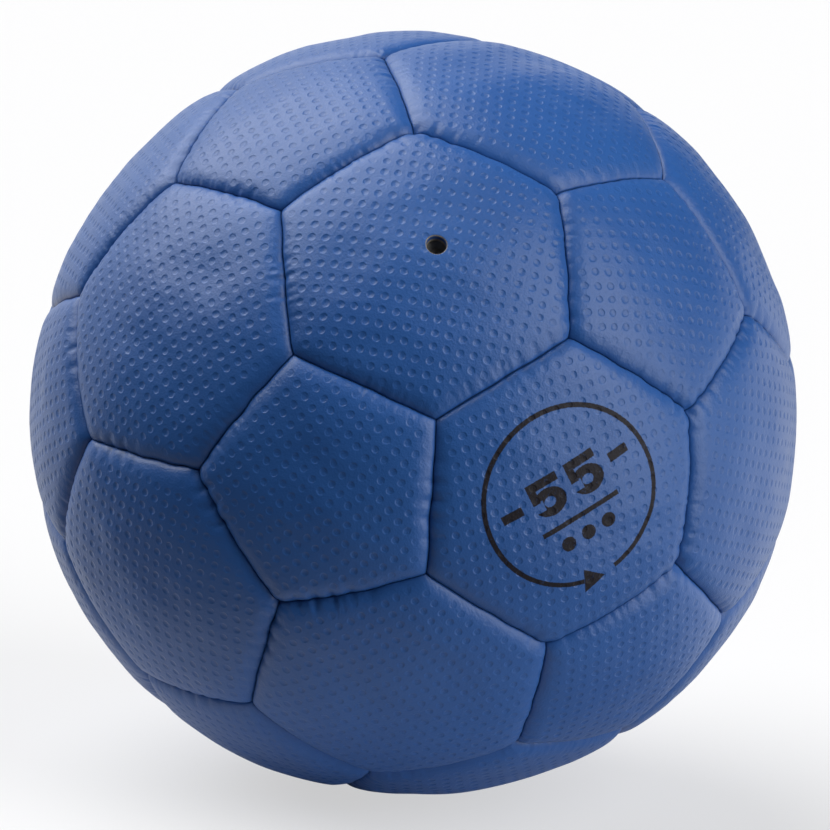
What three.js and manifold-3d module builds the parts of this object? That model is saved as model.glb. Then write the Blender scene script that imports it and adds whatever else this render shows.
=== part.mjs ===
// Hand-sewn tchoukball ball: 20 hexagon and 12 pentagon panels sewn over an inflated bladder.
// Millimetres, +Z up, origin at the ball's centre. X, Y and Z are three square twofold axes of
// the panel pattern: each passes through the middle of a seam between two hexagons.

import * as THREE from 'three';
import { mergeVertices } from 'three/addons/utils/BufferGeometryUtils.js';
import Module from 'manifold-3d';

// Cover sizes
const circumference = 550;       // round the crowns of the panels
const laminateThickness = 2.4;   // grain skin with its cloth lining
const flangeThickness = 2.4;     // the same laminate turned in at a seam
const rollWidth = 4.6;           // how far the rounded edge of a panel reaches from its seam
const grooveDepth = 2.4;         // crown to the line where two rounded edges touch
const stitchDepth = 1.3;         // that line to the middle of the thread
const seamAllowance = 2.1;       // middle of the thread to the cut edge of the turned-in laminate
const fitGap = 0.3;              // between pieces that touch

// Thread size
const threadThickness = 0.9;

// Valve sizes, measured along the valve's axis and out from it
const needleHoleDiameter = 4.7;
const valveOffset = 3.5;         // needle hole from the middle of its panel, along the surface
const valveOffsetTurn = -42;     // degrees round the panel's middle, from its highest corner
const bossRadius = 4.6;
const valveFlangeRadius = 12;
const valveFlangeThickness = 1;
const stemRadius = 4.2;
const stemLength = 13;           // from the flange's underside into the bladder
const mouthRadius = 1.3;
const mouthFlare = 1.1;          // how far the mouth widens at the boss's top
const mouthHeight = 1.4;
const coreHeadRadius = 2.7;
const coreHeadHeight = 3;
const coreShankRadius = 1.7;
const coreTipLength = 1.8;       // core standing out below the stem
const needleChannelRadius = 0.5;
const sealLength = 4;            // closed end of the core under the needle channel
const facetAllowance = 0.2;      // flat facets lie this far inside a panel's true inner face

// Bladder size
const bladderWall = 0.9;

// Mesh steps
const seamSteps = 3;             // facets along one seam
const rollSteps = 2;             // facets across the rounded edge
const outerSteps = 3;            // facets from the rounded edge to a panel's middle
const innerSteps = 2;            // the same on the inner face
const valvePanelInnerSteps = 4;  // finer over the valve
const valveSides = 18;
const bladderSides = 24;
const weldDistance = 0.001;      // points nearer than this are made one

// Colours and roughness
const finishes = {
  skin: { color: 0x2a599b, roughness: 0.45 },
  thread: { color: 0x1d2f52, roughness: 0.7 },
  latex: { color: 0x8d6f4c, roughness: 0.6 },
  valveRubber: { color: 0x2b2b29, roughness: 0.65 },
  coreRubber: { color: 0x3a3832, roughness: 0.65 },
};

// Worked-out radii from the ball's centre
const crownRadius = circumference / (2 * Math.PI);
const innerFaceRadius = crownRadius - laminateThickness;
const touchRadius = crownRadius - grooveDepth;
const threadRadius = threadThickness / 2;
const threadPathRadius = touchRadius - stitchDepth;
const cutEdgeRadius = threadPathRadius - seamAllowance;
const bladderRadius = cutEdgeRadius - fitGap;

// Worked-out insets from the seam's middle plane
const touchInset = fitGap / 2;
const flangeInset = threadRadius + fitGap;
const pocketInset = flangeInset + flangeThickness;

// Panel pattern, on a sphere of radius 1. With seams 1 long its radius is root(58 + 18 root(5)) / 4.
const hexagon = 6;
const pentagon = 5;
const goldenRatio = (1 + Math.sqrt(5)) / 2;
const unitSeamRadius = Math.sqrt(58 + 18 * Math.sqrt(5)) / 4;
const seamLength = 1 / unitSeamRadius;
const sameDirection = 1e-6;      // directions nearer than this are one

// The directions got from one by changing its signs and cycling its coordinates.
function cycledDirections(x, y, z) {
  const found = [];
  for (let signs = 0; signs < 8; signs += 1) {
    const a = signs & 1 ? -x : x;
    const b = signs & 2 ? -y : y;
    const c = signs & 4 ? -z : z;
    for (const [p, q, r] of [[a, b, c], [b, c, a], [c, a, b]]) {
      const direction = new THREE.Vector3(p, q, r).normalize();
      const isNew = found.every((other) => other.distanceTo(direction) > sameDirection);
      if (isNew) found.push(direction);
    }
  }
  return found;
}

// Sorts directions from the top of the ball down, and round the ball at one height.
function fromTopDown(a, b) {
  const higher = Math.round((b.z - a.z) / sameDirection);
  return higher || Math.atan2(a.y, a.x) - Math.atan2(b.y, b.x);
}

const seamCorners = [
  ...cycledDirections(0, 1, 3 * goldenRatio),
  ...cycledDirections(1, 2 + goldenRatio, 2 * goldenRatio),
  ...cycledDirections(goldenRatio, 2, 2 * goldenRatio + 1),
].sort(fromTopDown);

const hexagonMiddles = [
  ...cycledDirections(1, 1, 1),
  ...cycledDirections(0, goldenRatio, 1 / goldenRatio),
].sort(fromTopDown);

const pentagonMiddles = cycledDirections(0, 1, goldenRatio).sort(fromTopDown);

// The turn that carries a panel made about +Z, with a corner towards +X, to its place.
function panelTurn(middle) {
  const nearest = Math.max(...seamCorners.map((corner) => corner.dot(middle)));
  const corner = seamCorners.find((direction) => direction.dot(middle) > nearest - sameDirection);
  const across = corner.clone().addScaledVector(middle, -nearest).normalize();
  const side = new THREE.Vector3().crossVectors(middle, across);
  const basis = new THREE.Matrix4().makeBasis(across, side, middle);
  return new THREE.Quaternion().setFromRotationMatrix(basis);
}

// Corner k of a panel about +Z, as a direction.
function cornerDirection(sides, k) {
  const reach = seamLength / (2 * Math.sin(Math.PI / sides));
  const turn = (2 * Math.PI * k) / sides;
  const height = Math.sqrt(1 - reach * reach);
  return new THREE.Vector3(reach * Math.cos(turn), reach * Math.sin(turn), height);
}

// Normal, towards the panel, of the plane through the ball's centre and seam k.
function seamNormal(sides, k) {
  const start = cornerDirection(sides, k);
  return start.cross(cornerDirection(sides, k + 1)).normalize();
}

// The point over corner k that lies at one inset from both seam planes.
function insetCorner(sides, k, inset, radius) {
  const before = seamNormal(sides, k - 1);
  const after = seamNormal(sides, k);
  const share = inset / (1 + before.dot(after));
  const reach = Math.sqrt(radius * radius - 2 * inset * share);
  const point = cornerDirection(sides, k).multiplyScalar(reach);
  return point.addScaledVector(before, share).addScaledVector(after, share);
}

// A closed line round a panel, at one inset from its seam planes and one distance from the centre.
function insetLine(sides, inset, radius) {
  const line = [];
  for (let k = 0; k < sides; k += 1) {
    const normal = seamNormal(sides, k);
    const start = insetCorner(sides, k, inset, radius);
    const end = insetCorner(sides, k + 1, inset, radius);
    line.push(start);
    for (let step = 1; step < seamSteps; step += 1) {
      const point = start.clone().lerp(end, step / seamSteps);
      point.addScaledVector(normal, -point.dot(normal));
      point.setLength(Math.sqrt(radius * radius - inset * inset));
      line.push(point.addScaledVector(normal, inset));
    }
  }
  return line;
}

// Insets spaced evenly, as angles, from one inset to a panel's middle, which is left out.
function insetsToMiddle(sides, inset, radius, steps) {
  const whole = Math.asin(seamNormal(sides, 0).z);
  const first = Math.asin(inset / radius);
  const insets = [];
  for (let step = 0; step < steps; step += 1) {
    insets.push(radius * Math.sin(first + ((whole - first) * step) / steps));
  }
  return insets;
}

// Closes a stack of lines, from a first point to a last point, into a solid's surface.
function stackGeometry(firstPoint, lines, lastPoint) {
  const count = lines[0].length;
  const points = [firstPoint, ...lines.flat(), lastPoint];
  const last = points.length - 1;
  const at = (line, k) => 1 + line * count + (k % count);
  const index = [];
  for (let k = 0; k < count; k += 1) {
    index.push(0, at(0, k), at(0, k + 1));
    for (let line = 0; line + 1 < lines.length; line += 1) {
      index.push(at(line, k), at(line + 1, k), at(line + 1, k + 1));
      index.push(at(line, k), at(line + 1, k + 1), at(line, k + 1));
    }
    index.push(last, at(lines.length - 1, k + 1), at(lines.length - 1, k));
  }
  const geometry = new THREE.BufferGeometry().setFromPoints(points);
  geometry.setIndex(index);
  return geometry;
}

// One panel about +Z: crown, rounded edge, flange turned in at each seam, and the pocket inside.
function panelGeometry(sides, innerCount) {
  const lines = [];
  const crownInsets = insetsToMiddle(sides, rollWidth, crownRadius, outerSteps);
  for (const inset of crownInsets.slice(1).reverse()) {
    lines.push(insetLine(sides, inset, crownRadius));
  }
  for (let step = 0; step <= rollSteps; step += 1) {
    const turn = (Math.PI / 2) * (step / rollSteps);
    const inset = touchInset + (rollWidth - touchInset) * (1 - Math.sin(turn));
    lines.push(insetLine(sides, inset, crownRadius - grooveDepth * (1 - Math.cos(turn))));
  }
  const throatRadius = threadPathRadius + threadRadius + fitGap;
  lines.push(insetLine(sides, flangeInset, throatRadius));
  lines.push(insetLine(sides, flangeInset, cutEdgeRadius));
  lines.push(insetLine(sides, pocketInset, cutEdgeRadius));
  for (const inset of insetsToMiddle(sides, pocketInset, innerFaceRadius, innerCount)) {
    lines.push(insetLine(sides, inset, innerFaceRadius));
  }
  const outerMiddle = new THREE.Vector3(0, 0, crownRadius);
  const innerMiddle = new THREE.Vector3(0, 0, innerFaceRadius);
  return stackGeometry(outerMiddle, lines, innerMiddle);
}

// Triangles of the seam thread's half on one panel's side of its seams, a square section on edge.
function threadHalf(sides, turn) {
  const top = insetLine(sides, 0, threadPathRadius + threadRadius);
  const side = insetLine(sides, threadRadius, threadPathRadius);
  const bottom = insetLine(sides, 0, threadPathRadius - threadRadius);
  const points = [];
  for (let k = 0; k < top.length; k += 1) {
    const next = (k + 1) % top.length;
    points.push(top[k], top[next], side[next]);
    points.push(top[k], side[next], side[k]);
    points.push(side[k], side[next], bottom[next]);
    points.push(side[k], bottom[next], bottom[k]);
  }
  return points.map((point) => point.clone().applyQuaternion(turn));
}

// A geometry from loose triangles, with the points that they share made one.
function weldedGeometry(points) {
  const geometry = new THREE.BufferGeometry().setFromPoints(points);
  return mergeVertices(geometry, weldDistance);
}

// A solid for cutting, from a closed geometry.
function toSolid(wasm, geometry) {
  const bare = geometry.clone();
  bare.deleteAttribute('normal');
  bare.deleteAttribute('uv');
  const merged = mergeVertices(bare, weldDistance);
  const vertProperties = new Float32Array(merged.attributes.position.array);
  const triVerts = new Uint32Array(merged.index.array);
  return new wasm.Manifold(new wasm.Mesh({ numProp: 3, vertProperties, triVerts }));
}

// A geometry from a cut solid.
function fromSolid(solid) {
  const mesh = solid.getMesh();
  const geometry = new THREE.BufferGeometry();
  geometry.setAttribute('position', new THREE.BufferAttribute(mesh.vertProperties, 3));
  geometry.setIndex(new THREE.BufferAttribute(mesh.triVerts, 1));
  return geometry;
}

// A surface of revolution about +Y. Its profile of radius and height closes on itself or on the axis.
function latheGeometry(profile, sides) {
  const outline = profile.map(([radius, height]) => new THREE.Vector2(radius, height));
  return new THREE.LatheGeometry(outline, sides);
}

// Points of an arc about the origin, in a half plane with its radius first and its height second.
function arcProfile(radius, startAngle, endAngle, steps) {
  const points = [];
  for (let step = 0; step <= steps; step += 1) {
    const angle = startAngle + ((endAngle - startAngle) * step) / steps;
    points.push([Math.max(0, radius * Math.cos(angle)), radius * Math.sin(angle)]);
  }
  return points;
}

// Heights on the valve's axis, from the ball's centre
const flangeBottom = bladderRadius + fitGap;
const stemEnd = flangeBottom - stemLength;
const bossCurve = innerFaceRadius - Math.sqrt(innerFaceRadius ** 2 - bossRadius ** 2);
const bossTop = innerFaceRadius - bossCurve - facetAllowance - fitGap;
const headRoomTop = bossTop - mouthHeight;
const headRoomRadius = coreHeadRadius + fitGap;
const shankRoomRadius = coreShankRadius + fitGap;
const coreTop = headRoomTop - fitGap;
const coreShoulder = coreTop - coreHeadHeight;
const headRoomBottom = coreShoulder - fitGap;
const coreEnd = stemEnd - coreTipLength;

// Moulded valve body: boss against the panel, thin flange on the bladder, stem into the bladder.
function valveBodyGeometry() {
  const rimHeight = Math.sqrt(flangeBottom ** 2 - valveFlangeRadius ** 2);
  const profile = [
    [shankRoomRadius, stemEnd],
    [stemRadius, stemEnd],
    [stemRadius, flangeBottom],
    [valveFlangeRadius, rimHeight],
    [valveFlangeRadius, rimHeight + valveFlangeThickness],
    [bossRadius, flangeBottom + valveFlangeThickness],
    [bossRadius, bossTop],
    [mouthRadius + mouthFlare, bossTop],
    [mouthRadius, headRoomTop],
    [headRoomRadius, headRoomTop],
    [headRoomRadius, headRoomBottom],
    [shankRoomRadius, headRoomBottom],
    [shankRoomRadius, stemEnd],
  ];
  return latheGeometry(profile, valveSides);
}

// Self-sealing core: a head held in the valve body, and a shank with a blind needle channel.
function valveCoreGeometry() {
  const channelEnd = coreEnd + sealLength;
  const profile = [
    [0, coreEnd],
    [coreShankRadius, coreEnd],
    [coreShankRadius, coreShoulder],
    [coreHeadRadius, coreShoulder],
    [coreHeadRadius, coreTop],
    [needleChannelRadius, coreTop],
    [needleChannelRadius, channelEnd],
    [0, channelEnd],
  ];
  return latheGeometry(profile, valveSides);
}

// Bladder: a thin sphere with a round opening where the valve's stem goes in.
function bladderGeometry() {
  const neckRadius = stemRadius + fitGap;
  const innerRadius = bladderRadius - bladderWall;
  const outerTop = Math.acos(neckRadius / bladderRadius);
  const innerTop = Math.acos(neckRadius / innerRadius);
  const steps = bladderSides / 2;
  const outside = arcProfile(bladderRadius, -Math.PI / 2, outerTop, steps);
  const inside = arcProfile(innerRadius, innerTop, -Math.PI / 2, steps);
  return latheGeometry([...outside, ...inside], bladderSides);
}

function namedMesh(name, geometry, finish) {
  const material = new THREE.MeshStandardMaterial({ ...finish, metalness: 0 });
  const mesh = new THREE.Mesh(geometry, material);
  mesh.name = name;
  return mesh;
}

function numbered(kind, number) {
  return `${kind}_${String(number).padStart(2, '0')}`;
}

const wasm = await Module();
wasm.setup();

const ball = new THREE.Group();

// The needle hole's direction, leaning from its panel's middle, in the panel's own frame
const valveMiddle = new THREE.Vector3(1, -1, 1).normalize();
const lean = valveOffset / crownRadius;
const leanTurn = THREE.MathUtils.degToRad(valveOffsetTurn);
const needleDirection = new THREE.Vector3(
  Math.sin(lean) * Math.cos(leanTurn),
  Math.sin(lean) * Math.sin(leanTurn),
  Math.cos(lean),
);
const alongNeedle = new THREE.Quaternion().setFromUnitVectors(
  new THREE.Vector3(0, 1, 0),
  needleDirection,
);

// The valve panel: a hexagon with the needle hole through its laminate.
function valvePanelGeometry() {
  const drillLength = 4 * laminateThickness;
  const drill = new THREE.CylinderGeometry(
    needleHoleDiameter / 2,
    needleHoleDiameter / 2,
    drillLength,
    valveSides,
  );
  drill.translate(0, crownRadius - laminateThickness / 2, 0);
  drill.applyQuaternion(alongNeedle);
  const panel = toSolid(wasm, panelGeometry(hexagon, valvePanelInnerSteps));
  return fromSolid(panel.subtract(toSolid(wasm, drill)));
}

// Cover
const cover = new THREE.Group();
const threadPoints = [];

// Adds one panel in its place, with its side of the thread.
function addPanel(name, middle, sides, geometry) {
  const turn = panelTurn(middle);
  const panel = namedMesh(name, geometry, finishes.skin);
  panel.quaternion.copy(turn);
  cover.add(panel);
  threadPoints.push(...threadHalf(sides, turn));
}

const isValveMiddle = (middle) => middle.distanceTo(valveMiddle) < sameDirection;
const plainHexagonMiddles = hexagonMiddles.filter((middle) => !isValveMiddle(middle));
const hexagonGeometry = panelGeometry(hexagon, innerSteps);
const pentagonGeometry = panelGeometry(pentagon, innerSteps);

addPanel('valve_panel', valveMiddle, hexagon, valvePanelGeometry());
plainHexagonMiddles.forEach((middle, k) => {
  addPanel(numbered('hexagon_panel', k + 1), middle, hexagon, hexagonGeometry);
});
pentagonMiddles.forEach((middle, k) => {
  addPanel(numbered('pentagon_panel', k + 1), middle, pentagon, pentagonGeometry);
});
cover.add(namedMesh('seam_thread', weldedGeometry(threadPoints), finishes.thread));
ball.add(cover);

// Bladder and valve, made about +Y and turned to the needle hole
const inside = new THREE.Group();
inside.quaternion.copy(panelTurn(valveMiddle)).multiply(alongNeedle);
inside.add(namedMesh('bladder', bladderGeometry(), finishes.latex));
inside.add(namedMesh('valve_body', valveBodyGeometry(), finishes.valveRubber));
inside.add(namedMesh('valve_core', valveCoreGeometry(), finishes.coreRubber));
ball.add(inside);

export default ball;
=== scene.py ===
"""The looks of a hand-sewn ball: 32 grained panels, their thread, the bladder and the valve.

Metres, +Z up, in the frame of the packed parts, with the ball's centre at the origin. Each panel is
worked out about +Z, with one corner towards +X, and then turned to its place on the ball.
"""

import functools
import itertools
import math

import bpy
import numpy as np
from bpy.props import FloatProperty, FloatVectorProperty, IntProperty, PointerProperty
from mathutils import Matrix, Vector


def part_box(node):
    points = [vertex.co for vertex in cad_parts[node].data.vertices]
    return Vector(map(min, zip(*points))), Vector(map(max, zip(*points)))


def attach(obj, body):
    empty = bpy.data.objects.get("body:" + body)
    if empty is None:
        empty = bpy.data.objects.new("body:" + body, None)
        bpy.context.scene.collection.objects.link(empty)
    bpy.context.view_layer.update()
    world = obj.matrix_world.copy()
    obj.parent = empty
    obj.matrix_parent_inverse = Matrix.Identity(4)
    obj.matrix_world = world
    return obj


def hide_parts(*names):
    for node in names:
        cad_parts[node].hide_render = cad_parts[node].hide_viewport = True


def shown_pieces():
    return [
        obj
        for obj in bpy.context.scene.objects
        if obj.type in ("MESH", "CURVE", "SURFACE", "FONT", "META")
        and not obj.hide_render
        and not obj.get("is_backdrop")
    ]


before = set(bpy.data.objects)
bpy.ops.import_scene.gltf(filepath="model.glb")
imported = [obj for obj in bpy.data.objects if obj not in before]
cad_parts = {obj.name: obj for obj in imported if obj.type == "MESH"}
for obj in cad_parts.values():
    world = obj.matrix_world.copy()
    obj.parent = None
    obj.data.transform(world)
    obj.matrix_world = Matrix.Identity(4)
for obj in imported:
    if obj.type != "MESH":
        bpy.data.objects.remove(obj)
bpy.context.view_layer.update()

bl_info = {
    "name": "Hand-sewn ball",
    "version": (1, 0, 0),
    "blender": (4, 5, 0),
    "location": "View3D > Sidebar > Ball",
    "description": "Builds the grained panels, thread, bladder and valve of a hand-sewn ball",
    "category": "Object",
}

MM = 0.001
SAME = 1e-6  # directions nearer than this are the same
GOLDEN = (1 + math.sqrt(5)) / 2
SEAM_LENGTH = 4 / math.sqrt(58 + 18 * math.sqrt(5))  # on a ball of radius 1 with 60 seam corners
HEXAGON, PENTAGON = 6, 5
GRAIN_TURN = {HEXAGON: 15.0, PENTAGON: 6.0}  # degrees from a panel's corner to a row of pits
GRAIN_STEP = {HEXAGON: 30.0, PENTAGON: 18.0}  # what a panel's cut may add to that turn
GRAIN_STEPS_SEEN = {
    "valve_panel": 2,
    "hexagon_panel_01": 0,
    "hexagon_panel_06": 0,
    "hexagon_panel_09": 0,
    "hexagon_panel_10": 2,
    "hexagon_panel_12": 1,
    "hexagon_panel_15": 1,
    "pentagon_panel_01": 3,
    "pentagon_panel_03": 2,
    "pentagon_panel_06": 1,
    "pentagon_panel_09": 1,
}
PRINTED_PANEL = "hexagon_panel_09"
BEVEL = 0.3 * MM  # of the cut laminate
WRINKLE_WAVES = (1.7 * MM, 2.3 * MM, 3.4 * MM)
DENT_WAVE, SMALL_DENT_WAVE = 21 * MM, 9 * MM
PUCKER_PATCH, WRINKLE_PATCH, MARGIN_PATCH = 26 * MM, 30 * MM, 17 * MM  # from one patch to the next
MARGIN_SPREAD, BARE_SHARE = 0.35, 0.3  # of the pit margin: how it varies, and its bare part
LIP_BUMP, PIT_BUMP, PORE_BUMP, LEATHER_BUMP = 0.008, 0.06, 0.055, 0.05  # heights in millimetres
PORE_SCALE, LEATHER_SCALE, CLOUD_SCALE = 2000, 1000, 38  # bumps of the noise to a metre
# Painted shade: the pits get painted shade with some dust, the seams get painted shade.
PIT_SHADE_AND_DUST, SEAM_SHADE = 0.07, 0.35  # shares of the groove's colour in a pit and down in a seam
SKIN_IOR, INK_IOR = 1.48, 1.3


def farthest_point(node):
    """Distance from the ball's centre to the farthest point of a CAD node."""
    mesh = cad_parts[node].data
    points = np.empty(len(mesh.vertices) * 3)
    mesh.vertices.foreach_get("co", points)
    return float(np.linalg.norm(points.reshape(-1, 3), axis=1).max())


# Sizes and colours


def length(name, description, default):
    """A size in metres, given in millimetres."""
    return FloatProperty(
        name=name, description=description, default=default * MM, subtype="DISTANCE", unit="LENGTH"
    )


def angle(name, description, default):
    """An angle, given in degrees."""
    turn = math.radians(default)
    return FloatProperty(name=name, description=description, default=turn, subtype="ANGLE", unit="ROTATION")


def number(name, description, default):
    """A plain number."""
    return FloatProperty(name=name, description=description, default=default)


def count(name, description, default):
    """A whole number, one or more."""
    return IntProperty(name=name, description=description, default=default, min=1)


def direction(name, description, right, up, back):
    """A direction from the ball in the picture's right, up and back."""
    return FloatVectorProperty(name=name, description=description, default=(right, up, back), size=3)


def screen_colour(name, description, red, green, blue):
    """A colour, given as it looks on a screen, from 0 to 255."""
    shares = np.array((red, green, blue)) / 255
    linear = np.where(shares <= 0.04045, shares / 12.92, ((shares + 0.055) / 1.055) ** 2.4)
    settings = {"default": tuple(linear.tolist()), "size": 3, "subtype": "COLOR", "min": 0, "max": 1}
    return FloatVectorProperty(name=name, description=description, **settings)


class CoverSizes(bpy.types.PropertyGroup):
    """Sizes of the sewn cover."""

    crown_radius: length(
        "Crown radius", "Ball's centre to a panel's middle", farthest_point("valve_panel") / MM
    )
    laminate: length("Laminate", "Thickness of the grained skin with its cloth lining", 2.4)
    seam_gap: length("Seam gap", "Space between two panels where they touch", 0.06)
    fit_gap: length("Fit gap", "Space between two pieces that touch", 0.3)
    roll_width: length("Roll width", "How far a panel's rounded edge reaches from its seam", 4.8)
    groove_depth: length("Groove depth", "Crown to the line where two panels touch", 2.4)
    crown_fall: length("Crown fall", "How much of the groove's depth is a slow fall", 0.8)
    crown_reach: length("Crown reach", "How far that slow fall reaches from the seam", 15.0)
    stitch_depth: length("Stitch depth", "Line of touch to the middle of the thread", 1.3)
    seam_allowance: length("Seam allowance", "Thread to the cut edge of the turned-in laminate", 2.1)
    thread_thickness: length("Thread", "Thickness of the sewing thread", 0.9)
    stitch_pitch: length("Stitch pitch", "One stitch to the next along a seam", 4.4)
    pucker_depth: length("Pucker depth", "How far a stitch pulls the rounded edge in", 0.32)
    wrinkle_depth: length("Wrinkle depth", "Depth of the fine wrinkles across the rounded edge", 0.085)
    pit_pitch: length("Pit pitch", "One pit of the grain to the next", 3.1)
    pit_width: length("Pit width", "Across one pit at its rim", 1.8)
    pit_depth: length("Pit depth", "Depth of one pit", 0.13)
    pit_margin: length("Pit margin", "Distance from a seam at which the pits are whole", 4.2)
    dent_depth: length("Dent depth", "Depth of the soft unevenness of the skin", 0.22)
    sag: length("Sag", "How far the ball is out of round", 1.1)
    seam_wander: length("Seam wander", "How far a seam strays from its true line", 0.35)
    seam_ripple: length("Seam ripple", "How far a seam strays from stitch to stitch", 0.14)
    hexagon_rings: count("Hexagon rings", "Rings of facets from a hexagon's middle to its seams", 80)
    pentagon_rings: count("Pentagon rings", "Rings of facets from a pentagon's middle to its seams", 70)
    valve_rings: count("Valve panel rings", "Rings of facets of the panel with the needle hole", 110)
    inner_share: count("Inner share", "Outer facets along a seam for each inner one", 5)


class CoverColours(bpy.types.PropertyGroup):
    """Colours of the sewn cover."""

    skin: screen_colour("Skin", "Grained skin", 43, 90, 158)
    # The groove colour is painted shade for the skin down in a seam, and painted shade with some dust in
    # the pits.
    groove: screen_colour("Groove", "Skin down in a seam, where dust gathers", 20, 40, 82)
    lining: screen_colour("Lining", "Cloth on the inside of the skin", 196, 192, 182)
    cut_edge: screen_colour("Cut edge", "Cut edge of the laminate", 176, 164, 142)
    ink: screen_colour("Ink", "Printed marks", 28, 22, 22)
    thread: screen_colour("Thread", "Waxed sewing thread", 36, 52, 92)


class PrintSizes(bpy.types.PropertyGroup):
    """Sizes of the printed ring and its plain number, on one panel."""

    turn: angle("Turn", "From the panel's highest corner to the print's right", -60.0)
    lift: length("Lift", "Panel's middle up to the ring's middle", 1.2)
    ring_radius: length("Ring radius", "Middle of the ring's line", 20.2)
    line: length("Ring line", "Width of the ring's line", 1.15)
    gap_start: angle("Gap start", "Where the ring stops under its arrowhead", 255.0)
    gap_end: angle("Gap end", "Where the ring starts again", 277.0)
    arrow_length: length("Arrow length", "Base of the arrowhead to its tip", 5.1)
    arrow_width: length("Arrow width", "Across the base of the arrowhead", 5.8)
    bar_length: length("Bar length", "Bar under the number", 19.6)
    bar_width: length("Bar width", "Thickness of that bar", 1.15)
    bar_height: length("Bar height", "Middle of the bar, from the panel's middle", -3.3)
    figure_height: length("Figure height", "Height of one figure", 9.0)
    figure_width: length("Figure width", "Width of one figure", 8.6)
    figure_space: length("Figure space", "Middle of one figure to the middle of the next", 9.8)
    figure_stroke: length("Figure stroke", "Thickness of a figure's stroke", 2.1)
    figure_foot: length("Figure foot", "Foot of the figures, from the panel's middle", -0.2)
    dash_length: length("Dash length", "Short dash on either side of the number", 5.0)
    dash_place: length("Dash place", "Middle of the number to the middle of a dash", 13.8)
    dot_width: length("Dot width", "Across one dot under the bar", 3.4)
    dot_pitch: length("Dot pitch", "One dot to the next", 5.2)
    dot_drop: length("Dot drop", "Middle of the bar down to the middle of the dots", 4.6)
    ragged: length("Ragged", "How uneven the print's edges are", 0.25)
    soft: length("Soft", "Width over which the ink fades at an edge", 0.18)


class ValveSizes(bpy.types.PropertyGroup):
    """Sizes of the needle hole, the moulded valve body and its core."""

    hole_width: length("Needle hole", "Across the hole in the panel", 4.5)
    offset: length("Offset", "Panel's middle to the needle hole, along the surface", 3.5)
    offset_turn: angle("Offset turn", "From the panel's highest corner to the needle hole", -42.0)
    skin_layer: length("Skin layer", "Coloured layer of the laminate, seen in the needle hole", 1.4)
    hole_lip: length("Hole lip", "Width of the rounded lip of the needle hole", 0.3)
    boss_radius: length("Boss radius", "Boss behind the needle hole", 4.6)
    boss_round: length("Boss round", "Rounding of the boss's upper edge", 0.5)
    flange_radius: length("Flange radius", "Thin flange on the bladder", 12.0)
    flange_thickness: length("Flange thickness", "Thickness of that flange", 1.0)
    stem_radius: length("Stem radius", "Stem that reaches into the bladder", 4.2)
    stem_length: length("Stem length", "Length of the stem", 13.0)
    mouth_radius: length("Mouth radius", "Narrow part of the mouth", 1.3)
    mouth_flare: length("Mouth flare", "How far the mouth widens at the top", 0.95)
    mouth_height: length("Mouth height", "Height of the mouth", 1.4)
    core_head_radius: length("Core head radius", "Head of the self-sealing core", 2.7)
    core_head_height: length("Core head height", "Height of that head", 3.0)
    core_shank_radius: length("Core shank radius", "Shank of the core", 1.7)
    core_tip: length("Core tip", "Core standing out below the stem", 1.8)
    needle_channel: length("Needle channel", "Radius of the needle's channel in the core", 0.5)
    seal: length("Seal", "Closed end of the core under the channel", 4.0)
    facet_allowance: length("Facet allowance", "How far the packed panel's facets lie in", 0.2)
    bladder_wall: length("Bladder wall", "Thickness of the bladder", 0.9)
    sides: count("Sides", "Facets round the valve", 64)
    bladder_sides: count("Bladder sides", "Facets round the bladder", 96)


class ValveColours(bpy.types.PropertyGroup):
    """Colours of the valve and the bladder."""

    body: screen_colour("Valve body", "Moulded rubber", 190, 152, 104)
    core: screen_colour("Valve core", "Self-sealing rubber core", 92, 78, 60)
    bladder: screen_colour("Bladder", "Latex", 142, 112, 80)


class StageSizes(bpy.types.PropertyGroup):
    """The camera's fit to the photograph, the floor and the lamps."""

    picture_width: number("Picture width", "Pixels across the photograph", 830.0)
    ball_x: number("Ball x", "Pixel of the ball's centre, from the left", 414.7)
    ball_y: number("Ball y", "Pixel of the ball's centre, from the top", 414.2)
    ball_radius: number("Ball radius", "Radius of the ball's outline in pixels", 386.5)
    distance: number("Distance", "Camera to the ball's centre, in crown radii", 16.65)
    azimuth: angle("Azimuth", "From the -Y axis round to the camera", 44.83)
    elevation: angle("Elevation", "Camera's height above the horizon", 12.14)
    roll: angle("Roll", "Lean of the picture's upright", -3.68)
    floor_reach: number("Floor reach", "Half the floor's width, in metres", 30.0)
    sky: number("Sky", "Strength of the soft light from all round", 0.01)
    backdrop: number("Backdrop", "How bright the camera sees what lies behind the floor", 0.97)
    floor: screen_colour("Floor", "Floor as the camera sees it in plain light", 150, 150, 151)
    floor_lift: number("Floor lift", "Brightness added to the floor that the camera sees", 0.58)
    patch: screen_colour("Bright patch", "Floor near the ball, as it lights the ball", 203, 203, 204)
    patch_start: number("Patch start", "Where that patch starts to darken, in crown radii", 1.0)
    patch_end: number("Patch end", "Where that patch has darkened", 1.7)
    skirt_start: number("Skirt start", "Where the dimmer skirt round the patch starts to darken", 2.1)
    skirt_end: number("Skirt end", "Where that skirt has darkened", 3.3)
    skirt_share: number("Skirt share", "Light of the skirt as a share of the patch's", 0.3)


LAMPS = {  # direction in the picture's right, up and back; spread in degrees; watts a square metre
    "top": ((-0.48, 0.88, -0.04), 66.0, 3.4),
    "right": ((0.9, -0.13, 0.41), 53.0, 1.46),
    "front": ((0.68, 0.5, 0.53), 45.0, 1.44),
    "back": ((-0.46, 0.28, -0.84), 90.0, 1.3),
    "low": ((0.72, -0.19, -0.67), 60.0, 0.85),
}


def lamp_settings(name, way, spread, strength):
    """The three settings of one lamp."""
    title = name.capitalize()
    return {
        f"{name}_lean": direction(f"{title} lamp", "Towards the lamp: right, up and back", *way),
        f"{name}_spread": angle(f"{title} spread", "How wide the lamp looks from the ball", spread),
        f"{name}_strength": number(f"{title} strength", "Light of the lamp", strength),
    }


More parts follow.
